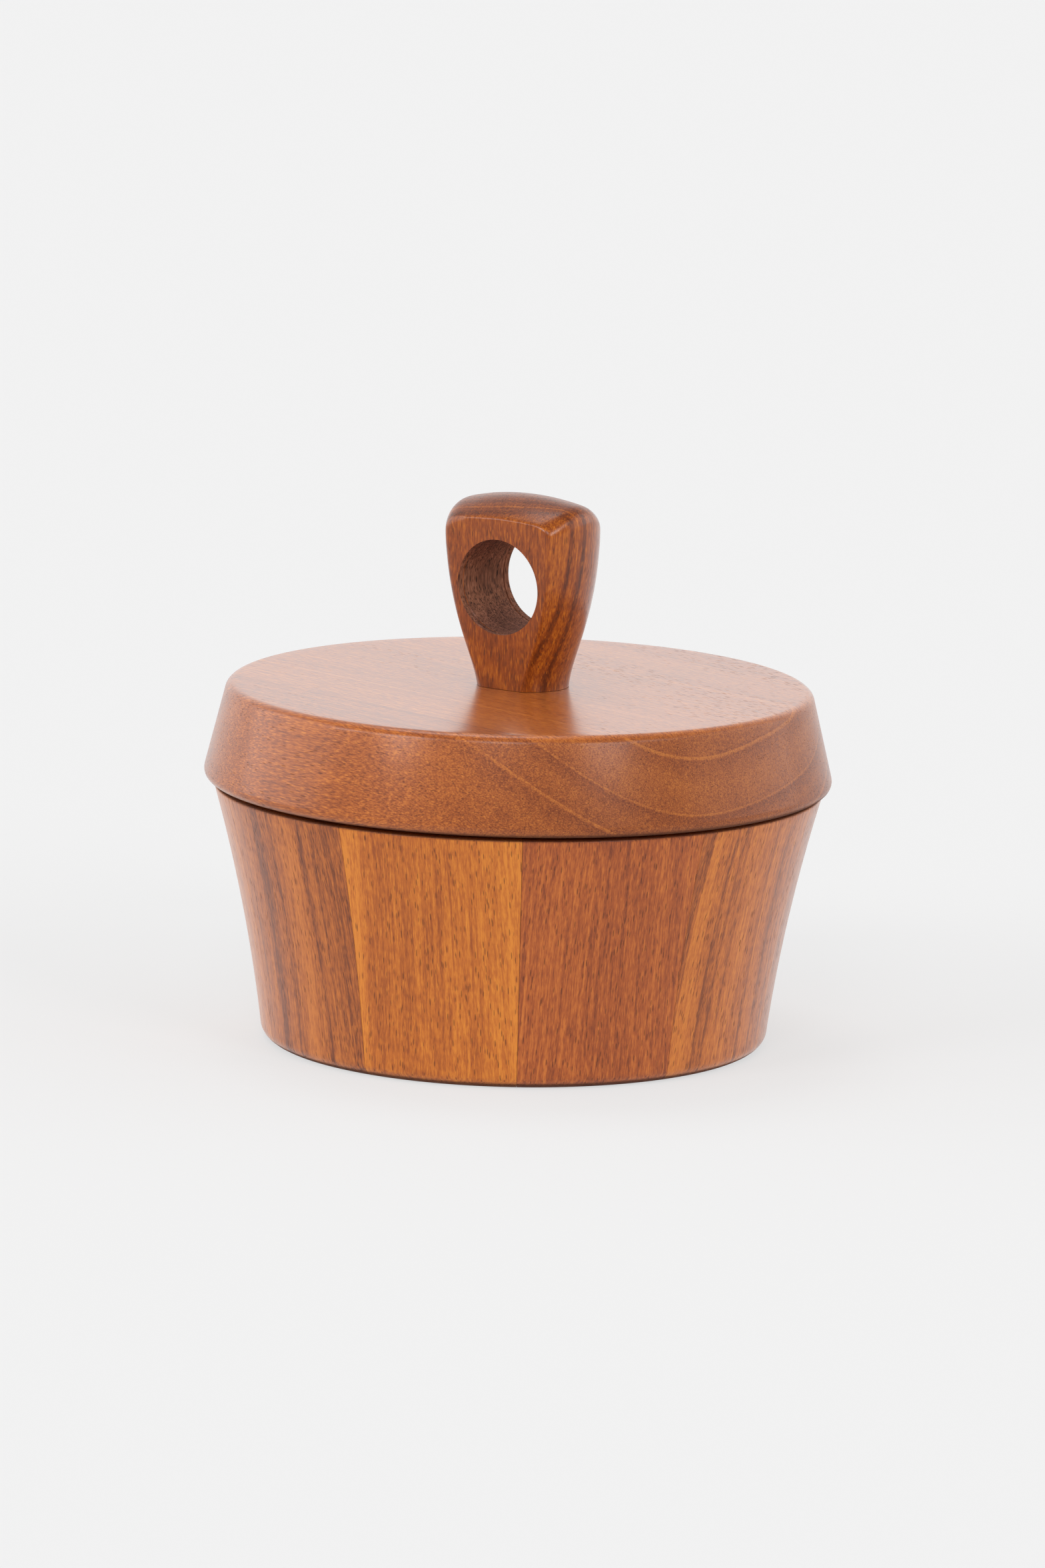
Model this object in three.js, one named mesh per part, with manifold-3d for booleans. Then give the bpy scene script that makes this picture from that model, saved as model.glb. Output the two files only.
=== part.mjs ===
// Lidded round box of teak: a coopered bowl, a turned lid and a turned handle with a finger hole.
// Millimetres, +Z up. The origin is the centre of the foot, on the table.
// The finger hole runs along Y, and one glue joint of the bowl faces -Y.

import * as THREE from 'three';
import { mergeVertices } from 'three/addons/utils/BufferGeometryUtils.js';
import Module from 'manifold-3d';

const wasm = await Module();
wasm.setup();

// Driving dimensions: the bowl's wall
const staveCount = 10;
const firstJoint = -90; // degrees from +X towards +Y, as every angle here
const footRadius = 72.6; // outside of the wall, at the table
const rimRadius = 87.7; // outside of the wall, at the rim
const bowlHeight = 74.4; // at the rim's outer edge
const wallBow = 1.54; // the flared outside curves in from a straight cone by this much
const wallThickness = 9;
const footEase = 4.6; // rounding of the foot's outer edge
const rimEase = 0.8; // rounding of both edges of the rim
const rimFall = 0.35; // the top of the rim slopes down outwards by this much
const staveGlueLine = 0.1;

// Driving dimensions: the bottom, held in a groove of the staves
const baseThickness = 8;
const baseRecess = 3; // from the table up to the underside of the bottom
const grooveDepth = 4;
const grooveClearance = 0.15;

// Driving dimensions: the lid
const lidThickness = 28.1;
const lidOverhang = 3.3; // beyond the outside of the bowl's rim
const lidBevel = 6.9; // the rim of the lid leans in by this much over its height
const lidLowerEase = 2.6;
const lidUpperEase = 3;
const spigotDepth = 6;
const spigotClearance = 0.9;
const spigotEase = 1;
const lidSeatGap = 0.65; // over the rim's outer edge, at the side where the lid sits lowest
const lidTilt = 0.2; // degrees, as the lid sits in the photographed pose
const lidHighSide = 215; // where the gap under the lid is widest
const lidShift = 0.2; // off the bowl's axis, towards the high side

// Driving dimensions: the handle
const handleHeight = 55.65;
const handleFootRadius = 13.2;
const handleRadius = 22.3; // at the widest level
const handleWidestLevel = 48.2; // above the lid
const handleFootRise = 9.4; // length of the handle curve's lower tangent
const handleFootFlare = 0.1; // and its slope
const handleShoulderRun = 26.7; // length of the upper tangent, straight down from the widest level
const handleShoulder = 5.5; // radius between the side and the domed top
const crownRadius = 17.9; // the dome is rubbed down by this further curve, front to back
const crownBlend = 10; // how far below the widest level the rubbing fades out
const handleThickness = 22.45; // between the two flats, at the lid
const flatsTaper = 2.3; // degrees that each flat leans outwards
const fingerHoleRadius = 13.85;
const fingerHoleLevel = 30; // centre of the hole above the lid
const handleShift = 0.85; // off the lid's centre, towards the lid's low side
const handleLean = 1.5; // degrees from square with the lid, away from the lid's low side
const handleGlueLine = 0.1;

// Driving dimensions: the dowel between the lid and the handle
const dowelRadius = 4;
const dowelInHandle = 10;
const dowelInLid = 16;
const dowelClearance = 0.1; // around it
const dowelEndRoom = 1; // past each end

// Fineness of the round forms
const facetsPerStave = 8;
const lidFacets = 80;
const handleFacets = 64;
const holeFacets = 56;
const dowelFacets = 24;
const wallSteps = 9;
const handleSideSteps = 12;
const domeSteps = 6;
const arcTolerance = 0.05; // how far an edge rounding may stray from its arc
const overcut = 2; // how far a cutter runs past what it cuts

const radians = THREE.MathUtils.degToRad;
const staveAngle = 360 / staveCount;

// How many straight steps an arc takes to keep within the tolerance
function arcSteps(radius, sweep) {
  return Math.ceil(Math.abs(sweep) / (2 * Math.acos(1 - arcTolerance / radius)));
}

// A closed solid from a geometry, with shared corners merged and the slivers at the poles left out
function solid(geometry) {
  geometry.deleteAttribute('normal');
  geometry.deleteAttribute('uv');
  const merged = mergeVertices(geometry, 1e-4);
  const corners = merged.index.array;
  const triangles = [];
  for (let i = 0; i < corners.length; i += 3) {
    const [a, b, c] = corners.slice(i, i + 3);
    if (a !== b && b !== c && c !== a) {
      triangles.push(a, b, c);
    }
  }
  const mesh = new wasm.Mesh({
    numProp: 3,
    vertProperties: new Float32Array(merged.attributes.position.array),
    triVerts: new Uint32Array(triangles),
  });
  return new wasm.Manifold(mesh);
}

// The geometry of a finished solid
function geometryOf(body) {
  const { vertProperties, triVerts } = body.getMesh();
  const geometry = new THREE.BufferGeometry();
  geometry.setAttribute('position', new THREE.BufferAttribute(vertProperties, 3));
  geometry.setIndex(new THREE.BufferAttribute(triVerts, 1));
  geometry.computeVertexNormals();
  return geometry;
}

// An outline through [x, y, radius] corners, each with a radius rounded by an arc
function outline(corners) {
  return corners.flatMap(([x, y, radius], i) => {
    const corner = new THREE.Vector2(x, y);
    if (!radius) {
      return [corner];
    }
    const toward = (j) => {
      const [nextX, nextY] = corners[(j + corners.length) % corners.length];
      return new THREE.Vector2(nextX, nextY).sub(corner).normalize();
    };
    const before = toward(i - 1);
    const after = toward(i + 1);
    const half = Math.acos(THREE.MathUtils.clamp(before.dot(after), -1, 1)) / 2;
    const middle = before.clone().add(after).normalize();
    const centre = middle.clone().multiplyScalar(radius / Math.sin(half)).add(corner);
    const sweep = (Math.PI / 2 - half) * Math.sign(before.cross(after));
    const steps = arcSteps(radius, 2 * sweep);
    return Array.from({ length: steps + 1 }, (_, k) => {
      const turn = sweep * (1 - (2 * k) / steps);
      return middle.clone().multiplyScalar(-radius).rotateAround(new THREE.Vector2(), turn).add(centre);
    });
  });
}

// A turned form about Z: the outline runs upwards on its outside, in radius and height
function turnedGeometry(points, facets, firstAngle = 0) {
  const geometry = new THREE.LatheGeometry(points, facets);
  geometry.rotateX(Math.PI / 2);
  geometry.rotateZ(firstAngle);
  return geometry;
}

function turned(...form) {
  return solid(turnedGeometry(...form));
}

// A round cutter or pin along Z, between two levels
function rod(radius, bottom, top, facets) {
  const geometry = new THREE.CylinderGeometry(radius, radius, top - bottom, facets);
  geometry.rotateX(Math.PI / 2);
  geometry.translate(0, 0, (top + bottom) / 2);
  return solid(geometry);
}

// The bowl's wall, outside and inside, at a height above the table
function outside(z) {
  const t = z / bowlHeight;
  return THREE.MathUtils.lerp(footRadius, rimRadius, t) - wallBow * 4 * t * (1 - t);
}

function inside(z) {
  return outside(z) - wallThickness;
}

// The bottom's levels, which its groove follows
const baseUnderside = baseRecess;
const baseTop = baseRecess + baseThickness;
const grooveLow = baseUnderside - grooveClearance;
const grooveHigh = baseTop + grooveClearance;
const grooveRadius = inside(baseTop) + grooveDepth;

function wallOutline() {
  const rise = Array.from({ length: wallSteps - 1 }, (_, k) => {
    const z = (bowlHeight * (k + 1)) / wallSteps;
    return [outside(z), z];
  });
  const fall = rise.map(([, z]) => z).reverse().filter((z) => z > grooveHigh + rimEase);
  return outline([
    [inside(0), 0],
    [footRadius, 0, footEase],
    ...rise,
    [rimRadius, bowlHeight, rimEase],
    [inside(bowlHeight), bowlHeight + rimFall, rimEase],
    ...fall.map((z) => [inside(z), z]),
    [inside(grooveHigh), grooveHigh],
    [grooveRadius, grooveHigh],
    [grooveRadius, grooveLow],
    [inside(grooveLow), grooveLow],
  ]);
}

// One stave about +X: the turned wall between two cheeks that stop half a glue line short of each joint
function staveGeometry() {
  const points = wallOutline();
  points.push(points[0].clone());
  const facetAngle = radians(staveAngle / facetsPerStave);
  const wall = turned(points, staveCount * facetsPerStave, facetAngle / 2);
  const half = radians(staveAngle / 2);
  const reach = (rimRadius + overcut) / Math.cos(half);
  const apex = staveGlueLine / 2 / Math.sin(half);
  const wedge = new THREE.Shape([
    new THREE.Vector2(apex, 0),
    new THREE.Vector2(apex + reach * Math.cos(half), -reach * Math.sin(half)),
    new THREE.Vector2(apex + reach * Math.cos(half), reach * Math.sin(half)),
  ]);
  const cheeks = new THREE.ExtrudeGeometry(wedge, {
    depth: bowlHeight + 2 * overcut,
    bevelEnabled: false,
  });
  cheeks.translate(0, 0, -overcut);
  return geometryOf(wall.intersect(solid(cheeks)));
}

function baseGeometry() {
  const radius = grooveRadius - grooveClearance;
  return geometryOf(rod(radius, baseUnderside, baseTop, staveCount * facetsPerStave));
}

// The level directions across the lid: towards its high side, and the line that it tilts about
function towardsHighSide() {
  const angle = radians(lidHighSide);
  return new THREE.Vector3(Math.cos(angle), Math.sin(angle), 0);
}

function tiltAxis() {
  return towardsHighSide().applyAxisAngle(new THREE.Vector3(0, 0, 1), -Math.PI / 2);
}

// From the lid's centre to the handle's
function handleOffset() {
  return towardsHighSide().multiplyScalar(-handleShift);
}

// The lid, with its origin at the centre of its underside where that rests on the rim
function lidGeometry() {
  const lidRadius = rimRadius + lidOverhang;
  const spigotRadius = inside(bowlHeight) - spigotClearance;
  const spigotTip = inside(bowlHeight - spigotDepth) - spigotClearance;
  const board = turned(
    outline([
      [0, -spigotDepth],
      [spigotTip, -spigotDepth, spigotEase],
      [spigotRadius, 0],
      [lidRadius, 0, lidLowerEase],
      [lidRadius - lidBevel, lidThickness, lidUpperEase],
      [0, lidThickness],
    ]),
    lidFacets,
  );
  const hole = rod(
    dowelRadius + dowelClearance,
    lidThickness - dowelInLid - dowelEndRoom,
    lidThickness + overcut,
    dowelFacets,
  );
  return geometryOf(board.subtract(hole.translate(handleOffset().toArray())));
}

// The handle's turned blank, its side one curve, its shoulder an arc and its top a shallow dome.
// The dome is rubbed down towards the flats.
function handleBlank() {
  const side = new THREE.CubicBezierCurve(
    new THREE.Vector2(handleFootRadius, 0),
    new THREE.Vector2(handleFootRadius + handleFootFlare * handleFootRise, handleFootRise),
    new THREE.Vector2(handleRadius, handleWidestLevel - handleShoulderRun),
    new THREE.Vector2(handleRadius, handleWidestLevel),
  );
  const flatRun = handleRadius - handleShoulder;
  const rise = handleHeight - handleWidestLevel;
  const domeRadius = (flatRun ** 2 + rise ** 2 - handleShoulder ** 2) / (2 * (rise - handleShoulder));
  const domeCentre = handleHeight - domeRadius;
  const domeAngle = Math.atan2(flatRun, handleWidestLevel - domeCentre);
  const domeStart = Math.PI / 2 - domeAngle;
  const shoulder = new THREE.Path();
  shoulder.absarc(flatRun, handleWidestLevel, handleShoulder, 0, domeStart);
  const dome = new THREE.Path();
  dome.absarc(0, domeCentre, domeRadius, domeStart, Math.PI / 2);
  const geometry = turnedGeometry(
    [
      new THREE.Vector2(0, -overcut),
      new THREE.Vector2(handleFootRadius, -overcut),
      ...side.getPoints(handleSideSteps),
      ...shoulder.getPoints(arcSteps(handleShoulder, domeStart)).slice(1),
      ...dome.getPoints(domeSteps).slice(1, -1),
      new THREE.Vector2(0, handleHeight),
    ],
    handleFacets,
    Math.PI / handleFacets,
  );
  const corners = geometry.attributes.position;
  const crownFoot = handleWidestLevel - crownBlend;
  for (let i = 0; i < corners.count; i += 1) {
    const z = corners.getZ(i);
    const share = THREE.MathUtils.clamp((z - crownFoot) / (handleHeight - crownFoot), 0, 1);
    corners.setZ(i, z - (share * corners.getY(i) ** 2) / (2 * crownRadius));
  }
  return solid(geometry);
}

// The tapered slab between the handle's two flats, wide along X
function flatsSlab() {
  const low = -2 * overcut;
  const high = handleHeight + overcut;
  const halfAt = (z) => handleThickness / 2 + z * Math.tan(radians(flatsTaper));
  const section = new THREE.Shape([
    new THREE.Vector2(-halfAt(low), low),
    new THREE.Vector2(halfAt(low), low),
    new THREE.Vector2(halfAt(high), high),
    new THREE.Vector2(-halfAt(high), high),
  ]);
  const width = 2 * (handleRadius + overcut);
  const slab = new THREE.ExtrudeGeometry(section, { depth: width, bevelEnabled: false });
  slab.translate(0, 0, -width / 2);
  slab.applyMatrix4(
    new THREE.Matrix4().makeBasis(
      new THREE.Vector3(0, 1, 0),
      new THREE.Vector3(0, 0, 1),
      new THREE.Vector3(1, 0, 0),
    ),
  );
  return solid(slab);
}

// The handle, with its origin where its foot stands on the lid
function handleGeometry() {
  const hole = new THREE.CylinderGeometry(
    fingerHoleRadius,
    fingerHoleRadius,
    2 * (handleRadius + overcut),
    holeFacets,
  );
  hole.translate(0, 0, fingerHoleLevel);
  const shaped = handleBlank().intersect(flatsSlab()).subtract(solid(hole));
  const lean = new THREE.Matrix4().makeRotationAxis(tiltAxis(), -radians(handleLean));
  const leaning = shaped.transform(lean.toArray());
  const under = new THREE.BoxGeometry(4 * handleRadius, 4 * handleRadius, 4 * overcut);
  under.translate(0, 0, handleGlueLine - 2 * overcut);
  const socket = rod(dowelRadius + dowelClearance, -overcut, dowelInHandle + dowelEndRoom, dowelFacets);
  return geometryOf(leaning.subtract(solid(under)).subtract(socket));
}

function dowelGeometry() {
  return geometryOf(rod(dowelRadius, -dowelInLid, dowelInHandle, dowelFacets));
}

// Oiled teak, each piece from its own board
function teak(color, roughness) {
  return new THREE.MeshStandardMaterial({ color, roughness, metalness: 0 });
}

function piece(name, geometry, material) {
  const mesh = new THREE.Mesh(geometry, material);
  mesh.name = name;
  return mesh;
}

// The bowl: staves in a ring around the bottom
const bowl = new THREE.Group();
const stave = staveGeometry();
const staveTones = [0x9a5a34, 0x7f4329, 0x8e4f2d, 0x87492c];
for (let k = 0; k < staveCount; k += 1) {
  const name = `stave_${String(k + 1).padStart(2, '0')}`;
  const mesh = piece(name, stave, teak(staveTones[k % staveTones.length], 0.5));
  mesh.rotation.z = radians(firstJoint + (k + 0.5) * staveAngle);
  bowl.add(mesh);
}
bowl.add(piece('base_disc', baseGeometry(), teak(0x86482b, 0.55)));

// The lid assembly: its low side keeps the seat gap over the rim's outer edge
const lidAssembly = new THREE.Group();
lidAssembly.position.copy(towardsHighSide().multiplyScalar(lidShift));
lidAssembly.position.z = bowlHeight + lidSeatGap + rimRadius * Math.sin(radians(lidTilt));
lidAssembly.setRotationFromAxisAngle(tiltAxis(), radians(lidTilt));
lidAssembly.add(piece('lid', lidGeometry(), teak(0x8c4e33, 0.42)));

const handleGroup = new THREE.Group();
handleGroup.position.copy(handleOffset());
handleGroup.position.z = lidThickness;
handleGroup.add(piece('handle', handleGeometry(), teak(0x843f22, 0.4)));
handleGroup.add(piece('handle_dowel', dowelGeometry(), teak(0xb98a5c, 0.6)));
lidAssembly.add(handleGroup);

const box = new THREE.Group();
box.add(bowl, lidAssembly);

export default box;
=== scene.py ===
from math import atan2, cos, pi, radians, sin, tan
from random import Random

import bmesh
import bpy
from mathutils import Matrix, Vector
from mathutils.geometry import interpolate_bezier


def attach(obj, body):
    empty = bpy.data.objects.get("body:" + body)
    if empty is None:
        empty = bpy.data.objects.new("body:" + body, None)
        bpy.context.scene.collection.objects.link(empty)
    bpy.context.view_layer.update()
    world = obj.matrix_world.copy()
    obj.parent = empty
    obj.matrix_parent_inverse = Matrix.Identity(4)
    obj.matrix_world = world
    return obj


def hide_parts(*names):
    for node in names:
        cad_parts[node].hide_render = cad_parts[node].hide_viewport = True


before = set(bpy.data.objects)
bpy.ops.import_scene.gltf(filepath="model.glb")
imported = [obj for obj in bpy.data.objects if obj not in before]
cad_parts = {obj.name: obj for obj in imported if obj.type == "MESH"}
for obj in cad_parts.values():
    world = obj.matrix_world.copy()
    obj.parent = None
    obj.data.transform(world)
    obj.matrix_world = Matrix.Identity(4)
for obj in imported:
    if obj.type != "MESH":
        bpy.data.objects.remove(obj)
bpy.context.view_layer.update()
scene = bpy.context.scene
scene.view_settings.view_transform = "Standard"


# Camera
# It looks at the box as the photograph does: from 3 m away, 10 degrees above the horizontal and
# 35 degrees to the right of the handle's bored face, and turned a little off level.
mm = 0.001
view_azimuth = radians(35)
view_pitch = radians(10.428)
view_roll = radians(1.18)
view_distance = 3000 * mm
view_rise = 73.22 * mm
view_shift = 1.17 * mm
focal_length = 238.27

level_right = Vector((cos(view_azimuth), sin(view_azimuth), 0))
level_away = Vector((-sin(view_azimuth), cos(view_azimuth), 0))
skyward = Vector((0, 0, 1))
view_forward = cos(view_pitch) * level_away - sin(view_pitch) * skyward
view_up = sin(view_pitch) * level_away + cos(view_pitch) * skyward
camera_place = view_shift * level_right + view_rise * view_up - view_distance * view_forward
camera_right = cos(view_roll) * level_right + sin(view_roll) * view_up
camera_up = cos(view_roll) * view_up - sin(view_roll) * level_right

camera_data = bpy.data.cameras.new("camera")
camera_data.lens = focal_length
camera = bpy.data.objects.new("camera", camera_data)
scene.collection.objects.link(camera)
camera.matrix_world = Matrix.Translation(camera_place) @ Matrix(
    (camera_right, camera_up, -view_forward)
).transposed().to_4x4()
scene.camera = camera


# Table and backdrop
# A white sweep of paper. It glows a little like a light table, so the box's shadow stays faint and
# the underside of its flare stays bright, as they do in the photograph.
paper_reach = 12.0
paper_drop = 0.05 * mm
paper_white = (0.863, 0.863, 0.863, 1)
paper_lit = (0.76, 0.76, 0.76, 1)
paper_flatness = 0.7


def node(tree, kind, settings=None, inputs=None):
    """A shader node with its settings, and its inputs as values or as other nodes' outputs."""
    made = tree.nodes.new("ShaderNode" + kind)
    for key, value in (settings or {}).items():
        setattr(made, key, value)
    for key, value in (inputs or {}).items():
        if isinstance(value, bpy.types.NodeSocket):
            tree.links.new(value, made.inputs[key])
        else:
            made.inputs[key].default_value = value
    return made


def paper_material():
    material = bpy.data.materials.new("white_paper")
    material.use_nodes = True
    tree = material.node_tree
    tree.nodes.clear()
    lit = node(tree, "BsdfDiffuse", inputs={"Color": paper_lit})
    flat = node(tree, "Emission", inputs={"Color": paper_white})
    mix = node(
        tree, "MixShader",
        inputs={0: paper_flatness, 1: lit.outputs[0], 2: flat.outputs[0]},
    )
    node(tree, "OutputMaterial", inputs={"Surface": mix.outputs[0]})
    return material


def finished(name, shape, materials):
    """An object named name, made of a bmesh that is then freed."""
    mesh = bpy.data.meshes.new(name)
    shape.to_mesh(mesh)
    shape.free()
    for material in materials:
        mesh.materials.append(material)
    piece = bpy.data.objects.new(name, mesh)
    scene.collection.objects.link(piece)
    return piece


paper_shape = bmesh.new()
bmesh.ops.create_grid(paper_shape, x_segments=1, y_segments=1, size=paper_reach)
bmesh.ops.translate(paper_shape, verts=paper_shape.verts, vec=(0, 0, -paper_drop))
paper = finished("paper", paper_shape, [paper_material()])


# Studio light
# A white room lights the box from every side. Its ceiling and the side behind the camera are dim
# in reflections. A soft light hangs overhead and eight more stand all round.
white = (1, 1, 1, 1)
room_light = 0.46
dim_side = 0.3
dim_side_from, dim_side_to = 0.4, -0.6
dim_ceiling = 0.4
dim_ceiling_from, dim_ceiling_to = 0.35, 0.8


def calc(tree, operation, a, b=0.0, clamp=False):
    """A number worked out from one or two others."""
    return node(
        tree, "Math", {"operation": operation, "use_clamp": clamp}, {0: a, 1: b}
    ).outputs[0]


def vector_calc(tree, operation, a, b=(0, 0, 0), c=(0, 0, 0)):
    """A vector worked out from others, or the number that a dot product or a length gives."""
    made = node(tree, "VectorMath", {"operation": operation}, {0: a, 1: b, 2: c})
    return made.outputs["Value" if operation in ("DOT_PRODUCT", "LENGTH") else "Vector"]


def remap(tree, value, from_low, from_high, to_low=0.0, to_high=1.0):
    """value carried over from one range to another, and eased at both ends."""
    return node(
        tree, "MapRange", {"interpolation_type": "SMOOTHSTEP"},
        {0: value, 1: from_low, 2: from_high, 3: to_low, 4: to_high},
    ).outputs[0]


def seen_rays(tree):
    """1 on rays that show a surface or a reflection to the eye, 0 on those that light things."""
    path = node(tree, "LightPath").outputs
    either = calc(tree, "MAXIMUM", path["Is Camera Ray"], path["Is Glossy Ray"])
    return calc(tree, "MAXIMUM", either, path["Is Transmission Ray"])


world = bpy.data.worlds.new("white_room")
world.use_nodes = True
world_tree = world.node_tree
world_tree.nodes.clear()
heading = node(world_tree, "TexCoord").outputs["Generated"]
away = vector_calc(world_tree, "DOT_PRODUCT", heading, level_away)
height = vector_calc(world_tree, "DOT_PRODUCT", heading, skyward)
side_level = remap(world_tree, away, dim_side_to, dim_side_from, dim_side, 1.0)
ceiling_level = remap(world_tree, height, dim_ceiling_from, dim_ceiling_to, 1.0, dim_ceiling)
mirrored_level = calc(world_tree, "MULTIPLY", side_level, ceiling_level)
room = node(world_tree, "Background", inputs={"Color": white, "Strength": room_light})
mirrored = node(world_tree, "Background", inputs={"Color": white, "Strength": mirrored_level})
backdrop = node(world_tree, "Background", inputs={"Color": paper_white, "Strength": 1})
room_or_mirrored = node(
    world_tree, "MixShader",
    inputs={0: seen_rays(world_tree), 1: room.outputs[0], 2: mirrored.outputs[0]},
)
straight_to_camera = node(world_tree, "LightPath").outputs["Is Camera Ray"]
whole_room = node(
    world_tree, "MixShader",
    inputs={0: straight_to_camera, 1: room_or_mirrored.outputs[0], 2: backdrop.outputs[0]},
)
node(world_tree, "OutputWorld", inputs={"Surface": whole_room.outputs[0]})
scene.world = world


def soft_light(name, azimuth, elevation, width, strength):
    """A broad light far away. azimuth counts from the camera to the right, and width is how
    broad it looks from the box, all in degrees."""
    data = bpy.data.lights.new(name, "SUN")
    data.energy = strength
    data.angle = radians(width)
    lamp = bpy.data.objects.new(name, data)
    turn = view_azimuth + radians(azimuth)
    rise = radians(elevation)
    source = Vector((sin(turn) * cos(rise), -cos(turn) * cos(rise), sin(rise)))
    lamp.rotation_euler = source.to_track_quat("Z", "Y").to_euler()
    scene.collection.objects.link(lamp)


soft_light("overhead_light", -150, 72, 26, 0.46)
soft_light("back_light", 180, 48, 70, 0.3)
soft_light("far_left_light", -102, 18, 50, 0.75)
soft_light("side_left_light", -74, 26, 14, 0.25)
soft_light("left_light", -49, 29, 22, 0.78)
soft_light("front_light", -8, 35, 22, 0.6)
soft_light("right_light", 36, 27, 20, 0.7)
soft_light("side_right_light", 58, 36, 16, 0.22)
soft_light("far_right_light", 98, 18, 60, 0.75)


# Staves
# Ten teak staves stand in a ring, bevelled and glued edge to edge, then turned inside and out to
# one flared wall. Each comes from its own board, so tone and grain change at every joint.
stave_count = 10
first_joint = radians(-90)
foot_radius = 72.6 * mm
rim_radius = 87.7 * mm
bowl_height = 74.4 * mm
wall_bow = 1.54 * mm
wall_thickness = 9 * mm
foot_ease = 4.6 * mm
foot_clear = 1.5 * foot_ease
rim_ease = 0.8 * mm
rim_fall = 0.35 * mm
stave_glue_line = 0.1 * mm
base_thickness = 8 * mm
base_recess = 3 * mm
groove_depth = 4 * mm
groove_clearance = 0.15 * mm
stave_steps = 20
wall_steps = 20
ease_segments = 8
crease = radians(32)


def wall_outside(z):
    """The outer radius of the wall at a height above the table."""
    t = z / bowl_height
    return foot_radius + (rim_radius - foot_radius) * t - wall_bow * 4 * t * (1 - t)


def wall_inside(z):
    return wall_outside(z) - wall_thickness


def profile(shape, corners, closed):
    """A wire in the XZ plane through (radius, height, ease) corners, each eased by an arc."""
    verts = [shape.verts.new((r, 0, z)) for r, z, ease in corners]
    pairs = zip(verts, verts[1:] + verts[:1]) if closed else zip(verts, verts[1:])
    for a, b in pairs:
        shape.edges.new((a, b))
    for vert, (r, z, ease) in zip(verts, corners):
        if not ease:
            continue
        before, after = [(edge.other_vert(vert).co - vert.co) for edge in vert.link_edges]
        run = ease / tan(before.angle(after) / 2)
        bmesh.ops.bevel(
            shape, geom=[vert], offset=run, offset_type="OFFSET", segments=ease_segments,
            profile=0.5, affect="VERTICES", material=-1,
        )


def wall_corners():
    heights = [bowl_height * k / wall_steps for k in range(1, wall_steps)]
    base_top = base_recess + base_thickness
    groove_high = base_top + groove_clearance
    groove_low = base_recess - groove_clearance
    groove_radius = wall_inside(base_top) + groove_depth
    return [
        (wall_inside(0), 0, 0),
        (foot_radius, 0, foot_ease),
        *[(wall_outside(z), z, 0) for z in heights if z > foot_clear],
        (rim_radius, bowl_height, rim_ease),
        (wall_inside(bowl_height), bowl_height + rim_fall, rim_ease),
        *[(wall_inside(z), z, 0) for z in reversed(heights) if z > groove_high + rim_ease],
        (wall_inside(groove_high), groove_high, 0),
        (groove_radius, groove_high, 0),
        (groove_radius, groove_low, 0),
        (wall_inside(groove_low), groove_low, 0),
    ]


def smooth(shape):
    """Shades the bmesh smooth, with every edge sharper than a crease kept hard."""
    for face in shape.faces:
        face.smooth = True
    for edge in shape.edges:
        edge.smooth = len(edge.link_faces) == 2 and edge.calc_face_angle(0) < crease


def stave_shape(start, sweep):
    """The wall's section carried round by sweep, with a flat cheek at either end."""
    shape = bmesh.new()
    profile(shape, wall_corners(), closed=True)
    first_loop = shape.edges[:]
    spun = bmesh.ops.spin(
        shape, geom=shape.verts[:] + shape.edges[:], cent=(0, 0, 0), axis=(0, 0, 1),
        angle=sweep, steps=stave_steps, use_merge=False,
    )
    last_loop = [part for part in spun["geom_last"] if isinstance(part, bmesh.types.BMEdge)]
    bmesh.ops.contextual_create(shape, geom=first_loop)
    bmesh.ops.contextual_create(shape, geom=last_loop)
    bmesh.ops.rotate(
        shape, verts=shape.verts, cent=(0, 0, 0), matrix=Matrix.Rotation(start, 3, "Z")
    )
    bmesh.ops.recalc_face_normals(shape, faces=shape.faces)
    smooth(shape)
    return shape


def log_mapping(along, toward_bark, heart):
    """Rotation and place, in millimetres, that put a tree's heart on the Z axis of a board's
    grain: along is the way that the grain runs, and heart is a point of the tree's centre."""
    z = along.normalized()
    x = (toward_bark - toward_bark.dot(z) * z).normalized()
    turn = Matrix((x, z.cross(x), z))
    return turn.to_euler("XYZ"), -(turn @ heart) / mm, z


def ring_widths(seed, first, last, narrow, wide):
    """Radii of a tree's yearly rings in millimetres, a new one every narrow to wide."""
    chance = Random(seed)
    radii = [first]
    while radii[-1] < last:
        radii.append(radii[-1] + chance.uniform(narrow, wide))
    return radii


def stretched(tree, vector, sizes, shift=(0, 0, 0)):
    """vector divided by a pattern's sizes along each axis, in millimetres."""
    return vector_calc(tree, "MULTIPLY_ADD", vector, tuple(1 / size for size in sizes), shift)


def noise(tree, vector, detail, roughness=0.5):
    return node(
        tree, "TexNoise", {"noise_dimensions": "3D"},
        {"Vector": vector, "Scale": 1.0, "Detail": detail, "Roughness": roughness},
    )


def place_between(tree, value, first, last):
    """0 where value is first, 1 where it is last, and even between them."""
    return node(
        tree, "MapRange", {"interpolation_type": "LINEAR"},
        {0: value, 1: float(first), 2: float(last), 3: 0.0, 4: 1.0},
    ).outputs[0]


def around_middle(tree, value, depth):
    """How far value lies above or below a half, times depth."""
    return calc(tree, "MULTIPLY", calc(tree, "SUBTRACT", value, 0.5), depth)


def grey_ramp(tree, value, stops):
    """A lightness looked up at value among (position, lightness) stops from 0 to 1."""
    made = node(tree, "ValToRGB", inputs={0: value})
    elements = made.color_ramp.elements
    for element, (_, level) in zip(elements, (stops[0], stops[-1])):
        element.color = (level, level, level, 1)
    for position, level in stops[1:-1]:
        elements.new(position).color = (level, level, level, 1)
    return made.outputs[0]


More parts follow.
